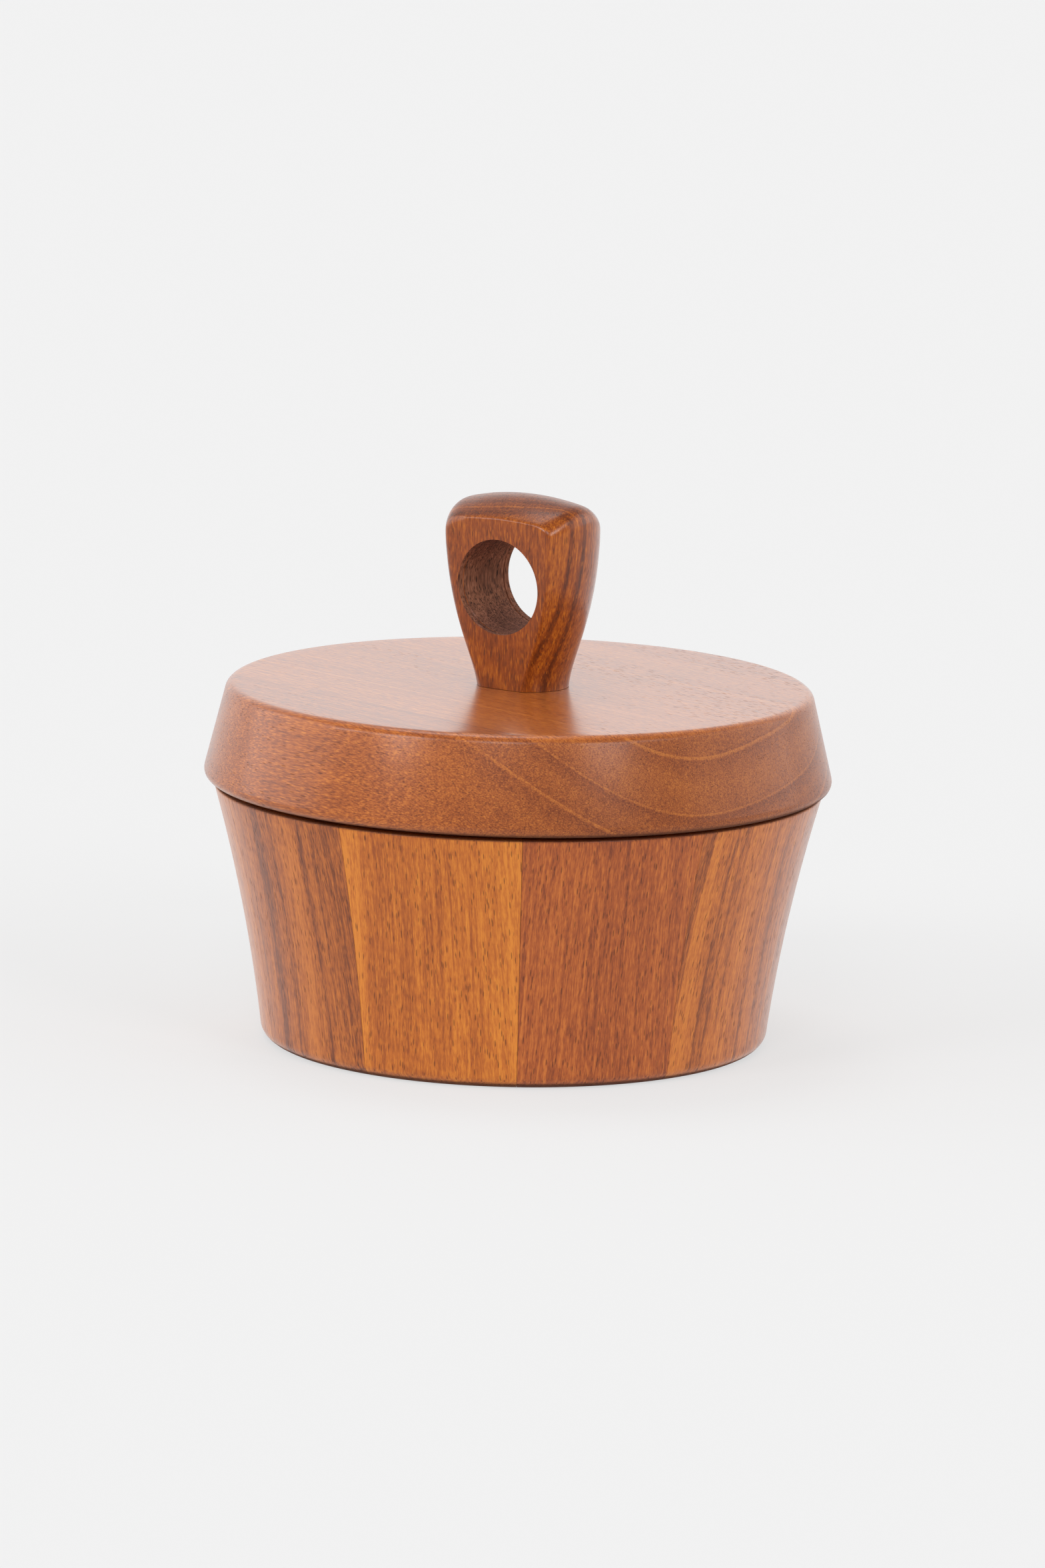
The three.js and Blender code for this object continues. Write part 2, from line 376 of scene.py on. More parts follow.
def blend_colour(tree, kind, amount, a, b):
    return node(
        tree, "Mix", {"data_type": "RGBA", "blend_type": kind}, {0: amount, 6: a, 7: b}
    ).outputs[2]


# How far apart the marks in teak lie across, across and along the grain, in millimetres
sway_size = (45, 45, 190)
band_size = (7, 7, 420)
streak_size = (0.8, 0.8, 50)
fibre_size = (0.36, 0.36, 3.2)
pore_size = (0.6, 0.6, 4)

# How closely the rays stand: per radian round the heart, and per millimetre outward and along
rays_around, rays_outward, rays_along = 110.0, 0.12, 0.5

# How the rings vary round the trunk and from year to year
flute_count = 6.0
year_shift = 0.37
year_change = 0.35

# How strongly the marks show
ray_depth = 0.3
fleck_share = 0.4
fleck_depth = 0.5
pore_edge = (0.34, 0.2)

# How squarely a cut meets the grain where it turns to end grain, and how the marks change there
end_facing = (0.35, 0.95)
end_tone = (0.72, 0.70, 0.78)
side_ring_share = 0.45
figure_loss_at_end = 0.6

# How nearly a cut lies along the rings where single rings fade from it
along_rings = (0.75, 0.93)

# How the surface shines: oil lies on it, less of it on pores and ends, and none on painted shade
oil_index = 1.3
pore_roughness = 0.2
pore_dulling = 0.5
end_dulling = 0.5
painted_shade_cover = 0.85
painted_shade_roughness = 0.4
fibre_roughness = 0.12
fibre_relief = 0.25
relief_strength = 0.5
relief_height = 0.09 * mm

even_years = [
    (0.0, 0.45), (0.03, 0.95), (0.1, 0.8), (0.2, 0.45), (0.6, 0.5), (0.9, 0.35), (1.0, 0.2),
]


def swaying(tree, board, sway, seed):
    """Places in a board, shifted by sway millimetres, as no tree grows quite straight."""
    drift = noise(tree, stretched(tree, board, sway_size, (seed, 0, 0)), 1.0)
    from_middle = vector_calc(tree, "SUBTRACT", drift.outputs["Color"], (0.5, 0.5, 0.5))
    return vector_calc(tree, "MULTIPLY_ADD", from_middle, (2 * sway, 2 * sway, 0), board)


def years(tree, radius, rings):
    """The years that a tree took to reach a radius, counted from its first ring."""
    place = place_between(tree, radius, rings[0], rings[-1])
    growth = node(tree, "FloatCurve", inputs={"Value": place})
    curve = growth.mapping.curves[0]
    curve.points[0].location = (0, 0)
    curve.points[1].location = (1, 1)
    for k, ring in enumerate(rings[1:-1], start=1):
        curve.points.new((ring - rings[0]) / (rings[-1] - rings[0]), k / (len(rings) - 1))
    for point in curve.points:
        point.handle_type = "VECTOR"
    growth.mapping.update()
    return calc(tree, "MULTIPLY", growth.outputs[0], float(len(rings) - 1))


def marked_rings(tree, figure, radius, outward, facing, end):
    """Single rings that stand out where a cut crosses them. A cut along them blurs them."""
    first, last = figure[0][0], figure[-1][0]
    stops = [((ring - first) / (last - first), level) for ring, level in figure]
    marks = grey_ramp(tree, place_between(tree, radius, first, last), stops)
    lie = vector_calc(tree, "DOT_PRODUCT", facing, outward)
    crossing = remap(tree, calc(tree, "ABSOLUTE", lie), *along_rings, 1.0, 0.0)
    soft_end = calc(tree, "SUBTRACT", 1.0, calc(tree, "MULTIPLY", end, figure_loss_at_end))
    marks = calc(tree, "MULTIPLY", around_middle(tree, marks, 1.0), crossing)
    return calc(tree, "MULTIPLY", marks, soft_end)


def slits(tree, vector, share, shift):
    """Short marks along the grain, such as pores: 1 inside one, in a share of the cells."""
    cells = node(
        tree, "TexVoronoi", {"voronoi_dimensions": "3D", "feature": "F1"},
        {"Vector": stretched(tree, vector, pore_size, shift), "Scale": 1.0, "Randomness": 1.0},
    )
    inside = remap(tree, cells.outputs["Distance"], *pore_edge)
    pick = node(tree, "SeparateColor", inputs={0: cells.outputs["Color"]})
    chosen = calc(tree, "LESS_THAN", pick.outputs[0], share)
    return calc(tree, "MULTIPLY", inside, chosen)


def teak(
    name, grain, rings, tones, pore=(0.05, 0.016, 0.008, 1), sway=1.4, ring_depth=0.5,
    band_depth=0.7, streak_depth=1.4, fibre_depth=1.6, pore_share=0.4, pore_depth=0.6,
    gloss=0.4, oil=1.0, coat_gloss=0.24, flutes=(0.0, 0.0), year_ramp=even_years, figure=(),
    painted_shade=(), seed=0,
):
    """Oiled teak cut from a tree with those rings. tones run from dark wood to golden wood,
    year_ramp lists (share of the year, lightness), and flutes is the depth and the turn of the
    six hollows of a fluted trunk. figure lists (radius, lightness) of single marked rings, and
    painted_shade lists (shaded height, unshaded height, from radius) of edges where shade is
    painted on, dark, dull and without shine."""
    material = bpy.data.materials.new(name)
    material.use_nodes = True
    tree = material.node_tree
    tree.nodes.clear()
    turn, place, along = grain
    where = node(tree, "TexCoord").outputs
    board = node(
        tree, "Mapping", {"vector_type": "POINT"},
        {
            "Vector": where["Object"], "Location": place, "Rotation": turn,
            "Scale": (1 / mm, 1 / mm, 1 / mm),
        },
    )
    wood = swaying(tree, board.outputs[0], sway, seed)

    # Yearly rings: a light line where each begins, darker wood where it ends
    across = vector_calc(tree, "MULTIPLY", wood, (1, 1, 0))
    split = node(tree, "SeparateXYZ", inputs={0: wood}).outputs
    bearing = calc(tree, "ARCTAN2", split[1], split[0])
    hollow_depth, hollow_turn = flutes
    round_trunk = calc(tree, "ADD", calc(tree, "MULTIPLY", bearing, flute_count), hollow_turn)
    hollow = calc(tree, "MULTIPLY", calc(tree, "COSINE", round_trunk), hollow_depth)
    radius = calc(tree, "SUBTRACT", vector_calc(tree, "LENGTH", across), hollow)
    age = years(tree, radius, rings)
    ring_tone = grey_ramp(tree, calc(tree, "FRACT", age), year_ramp)
    year = node(
        tree, "TexWhiteNoise", {"noise_dimensions": "1D"},
        {"W": calc(tree, "ADD", calc(tree, "FLOOR", age), year_shift + seed)},
    )

    # Rings show best on the ends of the grain
    facing_grain = vector_calc(tree, "DOT_PRODUCT", where["Normal"], along)
    end = remap(tree, calc(tree, "ABSOLUTE", facing_grain), *end_facing)
    end_gain = calc(tree, "MULTIPLY", end, 1 - side_ring_share)
    ring_share = calc(tree, "ADD", side_ring_share, end_gain)
    ring_mark = calc(tree, "MULTIPLY", around_middle(tree, ring_tone, ring_depth), ring_share)

    # Bands, streaks, fibres and rays
    bands = noise(tree, stretched(tree, wood, band_size, (0, seed, 0)), 3.0, 0.6).outputs[0]
    streaks = noise(tree, stretched(tree, wood, streak_size, (seed, 0, 0)), 2.0, 0.6).outputs[0]
    fibres = noise(tree, stretched(tree, wood, fibre_size, (0, 0, seed)), 2.0, 0.6).outputs[0]
    polar = node(
        tree, "CombineXYZ",
        inputs={
            0: calc(tree, "MULTIPLY", bearing, rays_around),
            1: calc(tree, "MULTIPLY", radius, rays_outward),
            2: calc(tree, "MULTIPLY", split[2], rays_along),
        },
    )
    rays = noise(tree, polar.outputs[0], 1.0).outputs[0]

    year_mark = around_middle(tree, year.outputs["Value"], year_change * ring_depth)
    marks = [ring_mark, year_mark]
    if figure:
        facing = node(
            tree, "Mapping", {"vector_type": "VECTOR"},
            {"Vector": where["Normal"], "Rotation": turn},
        )
        outward = vector_calc(tree, "NORMALIZE", across)
        marks.append(marked_rings(tree, figure, radius, outward, facing.outputs[0], end))
    marks += [
        around_middle(tree, bands, band_depth), around_middle(tree, streaks, streak_depth),
        around_middle(tree, fibres, fibre_depth), around_middle(tree, rays, ray_depth),
    ]
    tone = 0.5
    for mark in marks:
        tone = calc(tree, "ADD", tone, mark)
    body = node(tree, "ValToRGB", inputs={0: tone})
    shades = body.color_ramp.elements
    shades[0].position = 0.0
    shades[0].color = (*tones[0], 1)
    shades[1].position = 1.0
    shades[1].color = (*tones[2], 1)
    shades.new(0.5).color = (*tones[1], 1)

    # Open pores, dark with old oil, and short light flecks between them
    local_share = calc(tree, "MULTIPLY", bands, 2 * pore_share)
    pores = slits(tree, wood, local_share, (seed, 0.3, 0.7))
    flecks = slits(tree, wood, fleck_share, (0.9, seed, 0.2))
    fleck_cover = calc(tree, "MULTIPLY", flecks, fleck_depth)
    pore_cover = calc(tree, "MULTIPLY", pores, pore_depth)
    colour = blend_colour(tree, "MIX", fleck_cover, body.outputs[0], (*tones[2], 1))
    colour = blend_colour(tree, "MIX", pore_cover, colour, pore)

    # Ends of the grain drink more oil and are darker, and on some edges shade is painted on, dark
    # and dull
    colour = blend_colour(tree, "MULTIPLY", end, colour, (*end_tone, 1))
    rough = calc(tree, "ADD", gloss, calc(tree, "MULTIPLY", pores, pore_roughness))
    dull = calc(
        tree, "ADD", calc(tree, "MULTIPLY", pores, pore_dulling),
        calc(tree, "MULTIPLY", end, end_dulling),
    )
    sheen = calc(tree, "SUBTRACT", oil, dull, clamp=True)
    level = node(tree, "SeparateXYZ", inputs={0: where["Object"]}).outputs[2]
    from_axis = vector_calc(
        tree, "LENGTH", vector_calc(tree, "MULTIPLY", where["Object"], (1, 1, 0))
    )
    # Painted shade: darker, rougher and without shine beyond a height, outside a radius
    for shaded_height, unshaded_height, inner in painted_shade:
        low, high = sorted((shaded_height, unshaded_height))
        shade_share = remap(tree, level, low, high, float(shaded_height < unshaded_height), float(shaded_height > unshaded_height))
        shade_share = calc(tree, "MULTIPLY", shade_share, remap(tree, from_axis, inner, inner + mm))
        colour = blend_colour(
            tree, "MIX", calc(tree, "MULTIPLY", shade_share, painted_shade_cover), colour, pore
        )
        rough = calc(tree, "ADD", rough, calc(tree, "MULTIPLY", shade_share, painted_shade_roughness))
        sheen = calc(tree, "SUBTRACT", sheen, shade_share, clamp=True)

    rough = calc(tree, "ADD", rough, around_middle(tree, fibres, fibre_roughness))
    height = calc(tree, "SUBTRACT", calc(tree, "MULTIPLY", fibres, fibre_relief), pores)
    relief = node(
        tree, "Bump",
        inputs={"Strength": relief_strength, "Distance": relief_height, "Height": height},
    )
    surface = node(
        tree, "BsdfPrincipled",
        inputs={
            "Base Color": colour, "Roughness": rough, "IOR": oil_index,
            "Normal": relief.outputs[0], "Coat Weight": sheen, "Coat Roughness": coat_gloss,
            "Coat IOR": oil_index,
        },
    )
    node(tree, "OutputMaterial", inputs={"Surface": surface.outputs[0]})
    return material


honey = ((0.28, 0.062, 0.008), (0.46, 0.120, 0.012), (0.62, 0.200, 0.020))
russet = ((0.18, 0.036, 0.008), (0.345, 0.076, 0.013), (0.52, 0.145, 0.022))
amber = ((0.20, 0.046, 0.009), (0.42, 0.108, 0.016), (0.58, 0.180, 0.024))
chestnut = ((0.17, 0.040, 0.010), (0.37, 0.095, 0.015), (0.53, 0.160, 0.024))

# Tones, the heart's place from the middle of the outer face (outward, sideways) and the ring
# widths in millimetres, and the marked rings of the boards in front
boards = [
    (honey, (0, 174), (3, 5), [
        (150, 0.75), (152.5, 0.72), (153.2, 0.58), (160, 0.63), (168, 0.58), (170.5, 0.62),
        (171.5, 0.38), (173, 0.36), (180, 0.42), (188, 0.34), (194, 0.38), (195.5, 0.85),
        (204, 0.85),
    ]),
    (russet, (-60, -70), (4, 8), []),
    (amber, (0, -174), (3, 7), [
        (148, 0.3), (151, 0.25), (152, 0.7), (156, 0.62), (159.5, 0.5), (160.2, 0.05), (161, 0.5),
        (163.4, 0.5), (163.9, 0.1), (164.8, 0.55), (172, 0.65), (179.3, 0.5), (180, 0.1),
        (181, 0.55), (187, 0.5), (187.6, 0.15), (188.4, 0.55), (193.5, 0.5), (194.1, 0.2),
        (195, 0.6), (204, 0.6),
    ]),
    (chestnut, (40, 60), (3, 6), []),
    (honey, (-50, 90), (3, 6), []),
    (russet, (-30, -110), (2.5, 5), []),
    (amber, (60, 20), (4, 8), []),
    (chestnut, (-20, 120), (3, 5), []),
    (honey, (-70, -60), (3, 7), []),
    (chestnut, (0, 174), (3, 6.5), [
        (146, 0.42), (155, 0.4), (162, 0.45), (162.5, 0.0), (163.6, 0.05), (164.6, 0.5),
        (168, 0.72), (173, 0.66), (176, 0.45), (177, 0.1), (178.2, 0.5), (181, 0.45),
        (183.5, 0.15), (185.5, 0.25), (188, 0.6), (200, 0.65),
    ]),
]

stave_step = 2 * pi / stave_count
glue_angle = stave_glue_line / rim_radius
lean_out = atan2(rim_radius - foot_radius, bowl_height)
ring_reach = 55
# Painted shade: a dark line round the foot where it meets the table, and a dark band on the rim's
# outer edge in the gap under the lid
stave_painted_shade = (
    (1.0 * mm, 2.2 * mm, foot_radius - foot_ease),
    (bowl_height, bowl_height - 0.9 * mm, rim_radius - 1.6 * mm),
)
for k, (tones, (outward, sideways), (narrow, wide), figure) in enumerate(boards):
    name = f"stave_{k + 1:02d}"
    middle = first_joint + (k + 0.5) * stave_step
    out = Vector((cos(middle), sin(middle), 0))
    side = Vector((-sin(middle), cos(middle), 0))
    along = sin(lean_out) * out + cos(lean_out) * skyward
    face_middle = wall_outside(bowl_height / 2) * out + bowl_height / 2 * skyward
    heart = face_middle + outward * mm * out + sideways * mm * side
    distance = (outward ** 2 + sideways ** 2) ** 0.5
    nearest, farthest = max(distance - ring_reach, 1), distance + ring_reach
    rings = ring_widths(k, nearest, farthest, narrow, wide)
    grain = log_mapping(along, face_middle - heart, heart)
    wood = teak(f"teak_{name}", grain, rings, tones, figure=figure, painted_shade=stave_painted_shade, seed=k)
    shape = stave_shape(middle - stave_step / 2 + glue_angle / 2, stave_step - glue_angle)
    piece = finished(f"{name}_wood", shape, [wood])
    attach(piece, "bowl")
    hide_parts(name)


# Bottom
# A turned teak disc, its edge held in the groove of the staves as the ring was glued up. It stands
# clear of the table, so the box rests on the stave ends alone.
base_ease = 0.5 * mm
base_heart_depth = 90 * mm
round_steps = 200
weld_distance = 0.001 * mm


def turned(corners):
    """A round solid: the outline from axis to axis, spun about Z."""
    shape = bmesh.new()
    profile(shape, corners, closed=False)
    bmesh.ops.spin(
        shape, geom=shape.verts[:] + shape.edges[:], cent=(0, 0, 0), axis=(0, 0, 1),
        angle=2 * pi, steps=round_steps, use_merge=True,
    )
    bmesh.ops.remove_doubles(shape, verts=shape.verts, dist=weld_distance)
    bmesh.ops.recalc_face_normals(shape, faces=shape.faces)
    return shape


base_top = base_recess + base_thickness
base_radius = wall_inside(base_top) + groove_depth - groove_clearance
base_shape = turned([
    (0, base_recess, 0),
    (base_radius, base_recess, base_ease),
    (base_radius, base_top, base_ease),
    (0, base_top, 0),
])
smooth(base_shape)
base_grain = log_mapping(Vector((0, 1, 0)), skyward, -base_heart_depth * skyward)
base_rings = ring_widths(seed=21, first=70, last=150, narrow=3, wide=7)
base_wood = teak("teak_base", base_grain, base_rings, chestnut, gloss=0.5)
base = finished("base_wood", base_shape, [base_wood])
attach(base, "bowl")
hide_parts("base_disc")


# Lid
# One wide flat-sawn teak board, turned. Its rim leans in, its edges are rounded over, and a spigot
# underneath drops into the mouth. It sits a little open on the left, as it does in the photograph.
lid_thickness = 28.1 * mm
lid_overhang = 3.3 * mm
lid_bevel = 6.9 * mm
lid_lower_ease = 2.6 * mm
lid_upper_ease = 3 * mm
spigot_depth = 6 * mm
spigot_clearance = 0.9 * mm
spigot_ease = 1 * mm
lid_seat_gap = 0.65 * mm
lid_tilt = radians(0.2)
lid_high_side = radians(215)
lid_shift = 0.2 * mm
handle_shift = 0.85 * mm
dowel_radius = 4 * mm
dowel_in_lid = 16 * mm
dowel_clearance = 0.1 * mm
dowel_end_room = 1 * mm

towards_high_side = Vector((cos(lid_high_side), sin(lid_high_side), 0))
tilt_axis = towards_high_side.cross(skyward)
lid_height = bowl_height + lid_seat_gap + rim_radius * sin(lid_tilt)
lid_middle = lid_shift * towards_high_side + lid_height * skyward
lid_place = Matrix.Translation(lid_middle) @ Matrix.Rotation(lid_tilt, 4, tilt_axis)
handle_foot = Matrix.Translation(-handle_shift * towards_high_side)

lid_radius = rim_radius + lid_overhang
spigot_tip = wall_inside(bowl_height - spigot_depth) - spigot_clearance
dowel_hole = dowel_radius + dowel_clearance
dowel_floor = lid_thickness - dowel_in_lid - dowel_end_room
lid_shape = turned([
    (0, -spigot_depth, 0),
    (spigot_tip, -spigot_depth, spigot_ease),
    (wall_inside(bowl_height) - spigot_clearance, 0, 0),
    (lid_radius, 0, lid_lower_ease),
    (lid_radius - lid_bevel, lid_thickness, lid_upper_ease),
    (lid_radius - lid_bevel - 2 * lid_upper_ease, lid_thickness, 0),
    (dowel_hole, lid_thickness, 0),
    (dowel_hole, dowel_floor, 0),
    (0, dowel_floor, 0),
])
hole_verts = [
    vert for vert in lid_shape.verts
    if vert.co.z > dowel_floor - mm and vert.co.xy.length < 2 * dowel_radius
]
bmesh.ops.transform(lid_shape, matrix=handle_foot, verts=hole_verts)
smooth(lid_shape)
bmesh.ops.transform(lid_shape, matrix=lid_place, verts=lid_shape.verts)

lid_grain_angle = radians(-12)
lid_heart_rise = 94 * mm
lid_heart_side = 3.2 * mm
lid_flutes = (2.0, radians(126))
lid_along = Vector((cos(lid_grain_angle), sin(lid_grain_angle), 0))
lid_across = Vector((-sin(lid_grain_angle), cos(lid_grain_angle), 0))
lid_heart = lid_place @ (lid_heart_side * lid_across + lid_heart_rise * skyward)
lid_grain = log_mapping(lid_along, -skyward, lid_heart)
lid_rings = [10, 22, 36, 49, 61, 73.5, 89.3, 99.6, 115]
lid_years = [
    (0.0, 0.45), (0.01, 0.95), (0.045, 0.85), (0.08, 0.2), (0.2, 0.28), (0.5, 0.55),
    (0.85, 0.42), (1.0, 0.35),
]
lid_tones = ((0.20, 0.047, 0.013), (0.38, 0.100, 0.020), (0.58, 0.190, 0.032))
# Painted shade along the lid's lower outer edge, over the gap to the bowl
lid_painted_shade = [(lid_height + 0.2 * mm, lid_height + 1.6 * mm, rim_radius)]
lid_wood = teak(
    "teak_lid", lid_grain, lid_rings, lid_tones, sway=0.6, flutes=lid_flutes,
    year_ramp=lid_years, ring_depth=0.7, band_depth=0.35, streak_depth=0.7, fibre_depth=2.0,
    gloss=0.36, coat_gloss=0.2, pore_share=0.3, pore_depth=0.4, painted_shade=lid_painted_shade, seed=3,
)
lid = finished("lid_wood", lid_shape, [lid_wood])
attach(lid, "lid")
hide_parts("lid")


# Handle
# A turned tulip-shaped knob of darker teak, its front and back sawn flat and its edges rubbed
# round by hand. The finger hole is bored afterwards and left dry, so its wall is grey and open.
handle_height = 55.65 * mm
handle_foot_radius = 13.2 * mm
handle_radius = 22.3 * mm
handle_widest_level = 48.2 * mm
handle_foot_rise = 9.4 * mm
handle_foot_flare = 0.1
handle_shoulder_run = 26.7 * mm
handle_shoulder = 5.5 * mm
crown_radius = 17.9 * mm
crown_blend = 10 * mm
handle_thickness = 22.45 * mm
flats_taper = radians(2.3)
finger_hole_radius = 13.85 * mm
finger_hole_level = 30 * mm
handle_lean = radians(1.5)
handle_glue_line = 0.1 * mm
hole_chamfer = 0.2 * mm
dowel_in_handle = 10 * mm
handle_allowance = 6 * mm
handle_voxel = 0.4 * mm
edge_rubbing = 7
crown_rubbing = 3
side_rubbing = 40
side_steps = 28
shoulder_steps = 8
crown_steps = 10
drill_steps = 160


def handle_corners():
    """The turned outline: one curve up the side, an arc at the shoulder and a shallow dome."""
    side = interpolate_bezier(
        Vector((handle_foot_radius, 0, 0)),
        Vector((handle_foot_radius + handle_foot_flare * handle_foot_rise, 0, handle_foot_rise)),
        Vector((handle_radius, 0, handle_widest_level - handle_shoulder_run)),
        Vector((handle_radius, 0, handle_widest_level)),
        side_steps,
    )
    run = handle_radius - handle_shoulder
    rise = handle_height - handle_widest_level
    dome = (run ** 2 + rise ** 2 - handle_shoulder ** 2) / (2 * (rise - handle_shoulder))
    dome_level = handle_height - dome
    dome_angle = atan2(run, handle_widest_level - dome_level)
    bend = pi / 2 - dome_angle
    shoulder = [bend * k / shoulder_steps for k in range(1, shoulder_steps + 1)]
    crown = [dome_angle * (1 - k / crown_steps) for k in range(1, crown_steps)]
    return [
        (0, -handle_allowance, 0),
        (handle_foot_radius, -handle_allowance, 0),
        *[(point.x, point.z, 0) for point in side],
        *[
            (run + handle_shoulder * cos(a), handle_widest_level + handle_shoulder * sin(a), 0)
            for a in shoulder
        ],
        *[(dome * sin(a), dome_level + dome * cos(a), 0) for a in crown],
        (0, handle_height, 0),
    ]


def cut_flat(shape, place, normal):
    """Saws off what lies beyond a plane and closes the cut."""
    cut = bmesh.ops.bisect_plane(
        shape, geom=shape.verts[:] + shape.edges[:] + shape.faces[:], plane_co=place,
        plane_no=normal, clear_outer=True,
    )
    rim = [part for part in cut["geom_cut"] if isinstance(part, bmesh.types.BMEdge)]
    bmesh.ops.contextual_create(shape, geom=rim)


def apply_modifier(piece, kind, **settings):
    """Gives the piece one modifier and applies it to its mesh."""
    modifier = piece.modifiers.new(kind.lower(), kind)
    for key, value in settings.items():
        setattr(modifier, key, value)
    depsgraph = bpy.context.evaluated_depsgraph_get()
    done = bpy.data.meshes.new_from_object(piece.evaluated_get(depsgraph))
    piece.modifiers.clear()
    old = piece.data
    piece.data = done
    bpy.data.meshes.remove(old)


handle_shape = turned(handle_corners())
crown_foot = handle_widest_level - crown_blend
for vert in handle_shape.verts:
    share = min(max((vert.co.z - crown_foot) / (handle_height - crown_foot), 0), 1)
    vert.co.z -= share * vert.co.y ** 2 / (2 * crown_radius)
for facing in (-1, 1):
    tilt = Vector((0, facing * cos(flats_taper), -sin(flats_taper)))
    cut_flat(handle_shape, Vector((0, facing * handle_thickness / 2, 0)), tilt)
handle = finished("handle_wood", handle_shape, [])
apply_modifier(handle, "REMESH", mode="VOXEL", voxel_size=handle_voxel)

handle_shape = bmesh.new()
handle_shape.from_mesh(handle.data)
# The edges are rubbed round, the crown a little more, and the left side most of all
crown = [vert for vert in handle_shape.verts if vert.co.z > crown_foot]
worn_side = [vert for vert in handle_shape.verts if vert.co.x < -handle_thickness / 2]
for rubbed, times in (
    (handle_shape.verts, edge_rubbing), (crown, crown_rubbing), (worn_side, side_rubbing)
):
    for _ in range(times):
        bmesh.ops.smooth_vert(
            handle_shape, verts=rubbed, factor=0.5,
            use_axis_x=True, use_axis_y=True, use_axis_z=True,
        )
lean = Matrix.Rotation(-handle_lean, 4, tilt_axis)
bmesh.ops.transform(handle_shape, matrix=lean, verts=handle_shape.verts)
cut_flat(handle_shape, Vector((0, 0, handle_glue_line)), Vector((0, 0, -1)))
handle_shape.to_mesh(handle.data)
handle_shape.free()


def drill(name, low_radius, high_radius, bottom, top, place):
    """A round or tapered cutter from bottom to top on the Z axis of place."""
    shape = bmesh.new()
    bmesh.ops.create_cone(
        shape, cap_ends=True, segments=drill_steps, radius1=low_radius, radius2=high_radius,
        depth=top - bottom, matrix=place @ Matrix.Translation((0, 0, (top + bottom) / 2)),
    )
    return finished(name, shape, [])


hole_level = lean @ Matrix.Translation((0, 0, finger_hole_level))
hole_place = hole_level @ Matrix.Rotation(pi / 2, 4, "X")
cutters = [
    drill(
        "finger_drill", finger_hole_radius, finger_hole_radius, -handle_radius, handle_radius,
        hole_place,
    ),
    drill(
        "dowel_drill", dowel_hole, dowel_hole, -handle_allowance,
        dowel_in_handle + dowel_end_room, Matrix.Identity(4),
    ),
]
flat_depth = handle_thickness / 2 * cos(flats_taper) - finger_hole_level * sin(flats_taper)
for side in (-1, 1):
    flat_place = hole_level @ Matrix.Rotation(-side * (pi / 2 + flats_taper), 4, "X")
    cutters.append(drill(
        "chamfer_drill", finger_hole_radius - hole_chamfer, finger_hole_radius + 2 * hole_chamfer,
        flat_depth - 2 * hole_chamfer, flat_depth + hole_chamfer, flat_place,
    ))
for cutter in cutters:
    apply_modifier(handle, "BOOLEAN", operation="DIFFERENCE", solver="EXACT", object=cutter)
    bpy.data.objects.remove(cutter)

handle_place = lid_place @ handle_foot @ Matrix.Translation((0, 0, lid_thickness))
handle_shape = bmesh.new()
handle_shape.from_mesh(handle.data)
hole_axis = hole_place.to_3x3() @ skyward
bore_reach = finger_hole_radius + 0.02 * mm
hole_middle = hole_place.translation
# The wall of the bore takes the second of the handle's woods
for face in handle_shape.faces:
    offset = face.calc_center_median() - hole_middle
    beside = offset - offset.dot(hole_axis) * hole_axis
    face.material_index = int(beside.length < bore_reach)
smooth(handle_shape)
bmesh.ops.transform(handle_shape, matrix=handle_place, verts=handle_shape.verts)
handle_shape.to_mesh(handle.data)
handle_shape.free()

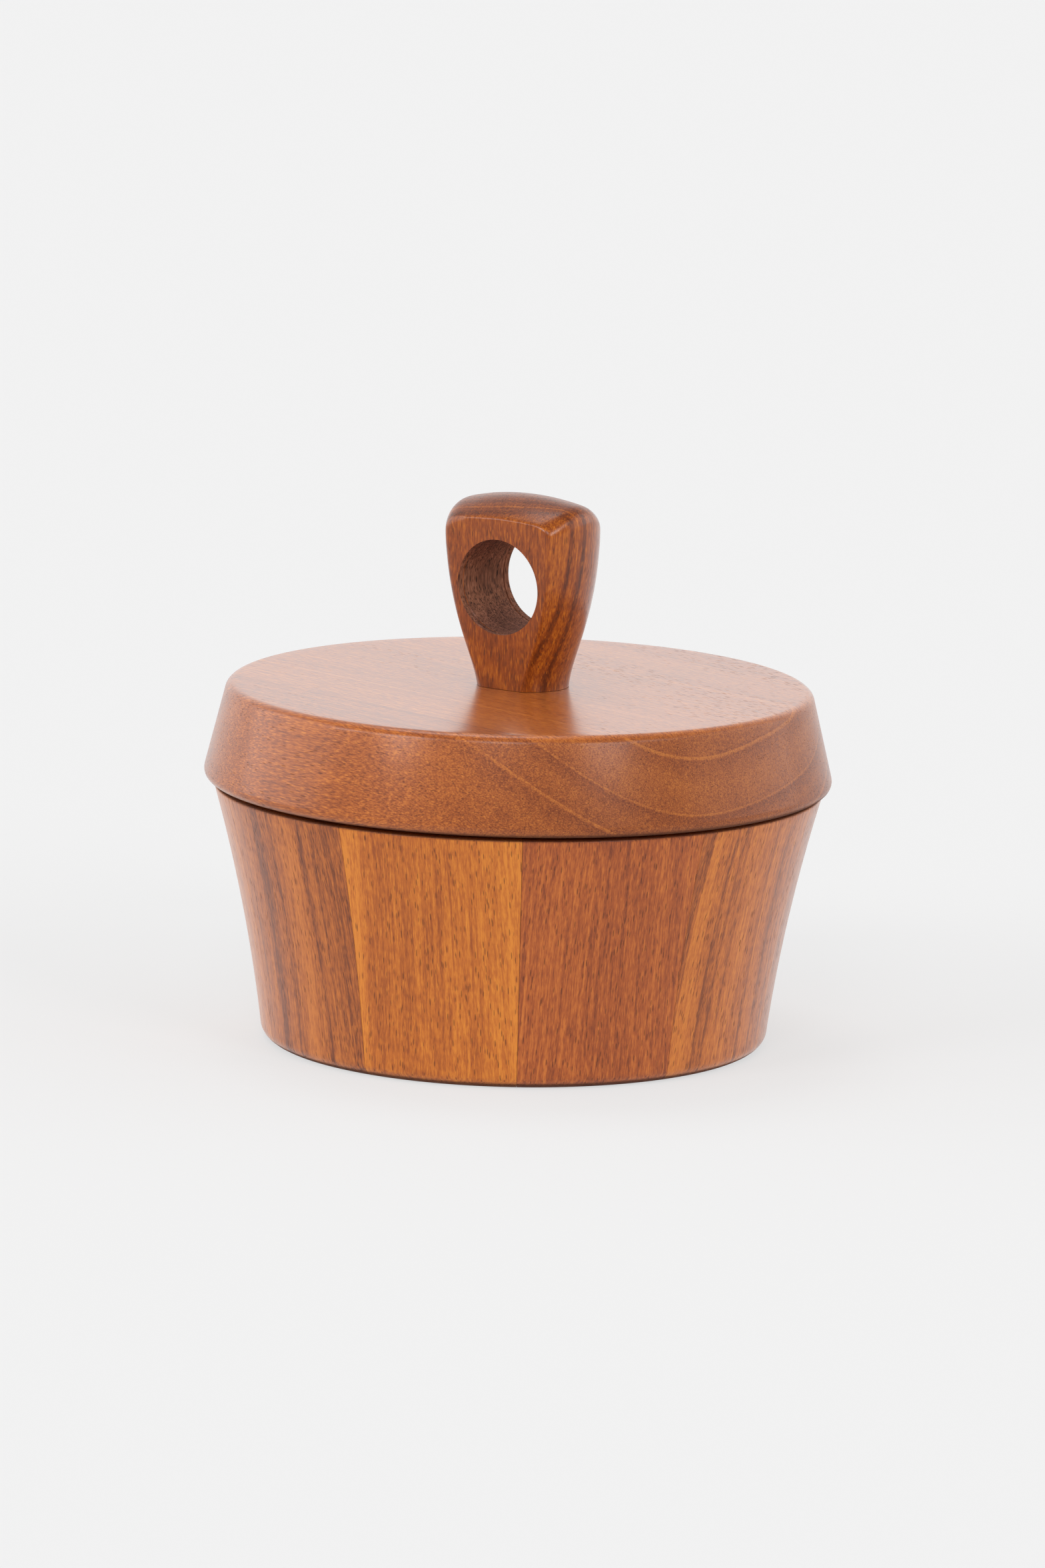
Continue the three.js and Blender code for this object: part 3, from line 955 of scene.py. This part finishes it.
handle_tones = ((0.10, 0.020, 0.004), (0.26, 0.055, 0.006), (0.52, 0.150, 0.012))
bore_tones = ((0.085, 0.032, 0.018), (0.27, 0.105, 0.055), (0.44, 0.185, 0.105))
handle_heart = handle_place @ Vector((-10 * mm, 75 * mm, 0))
handle_grain_lean = radians(-2.3)
handle_along = (Matrix.Rotation(handle_grain_lean, 3, "X") @ skyward).normalized()
handle_grain = log_mapping(handle_along, Vector((0, -1, 0)), handle_heart)
handle_rings = [40, 47, 53, 60, 66.5, 73.5, 80, 86.6, 93.5, 100]
handle_years = [
    (0.0, 0.5), (0.02, 0.9), (0.06, 0.8), (0.12, 0.2), (0.3, 0.28), (0.6, 0.5), (0.95, 0.5),
    (1.0, 0.45),
]
handle_figure = [
    (62, 0.5), (76, 0.6), (79.4, 0.6), (80, 0.35), (80.6, 0.62), (83.5, 0.62), (84.1, 0.15),
    (84.8, 0.15), (85.6, 0.55), (88.1, 0.65), (88.6, 0.2), (89.3, 0.2), (90.0, 0.65), (95, 0.7),
]
handle_wood = teak(
    "teak_handle", handle_grain, handle_rings, handle_tones, sway=0.8, year_ramp=handle_years,
    gloss=0.34, coat_gloss=0.2, ring_depth=0.6, band_depth=0.4, streak_depth=0.9,
    fibre_depth=1.2, pore_share=0.25, figure=handle_figure, seed=5,
)
bore_wood = teak(
    "teak_bore", handle_grain, handle_rings, bore_tones, sway=0.8, gloss=0.8, oil=0.0,
    pore_share=0.8, pore=(0.012, 0.008, 0.006, 1), pore_depth=0.95, seed=5,
)
handle.data.materials.append(handle_wood)
handle.data.materials.append(bore_wood)
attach(handle, "lid")
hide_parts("handle")


# Dowel
# A plain turned pin of pale hardwood, glued into the lid and the handle's foot. It can't be seen
# while the box is whole.
dowel_ease = 0.6 * mm
dowel_heart_side = 60 * mm
dowel_tones = ((0.36, 0.22, 0.11), (0.50, 0.33, 0.18), (0.60, 0.42, 0.25))

dowel_shape = turned([
    (0, -dowel_in_lid, 0),
    (dowel_radius, -dowel_in_lid, dowel_ease),
    (dowel_radius, dowel_in_handle, dowel_ease),
    (0, dowel_in_handle, 0),
])
smooth(dowel_shape)
bmesh.ops.transform(dowel_shape, matrix=handle_place, verts=dowel_shape.verts)
dowel_grain = log_mapping(skyward, Vector((1, 0, 0)), Vector((dowel_heart_side, 0, 0)))
dowel_rings = ring_widths(seed=9, first=50, last=72, narrow=1.5, wide=3)
dowel_wood = teak("dowel_wood", dowel_grain, dowel_rings, dowel_tones, gloss=0.6)
dowel = finished("dowel_pin", dowel_shape, [dowel_wood])
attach(dowel, "lid")
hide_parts("handle_dowel")
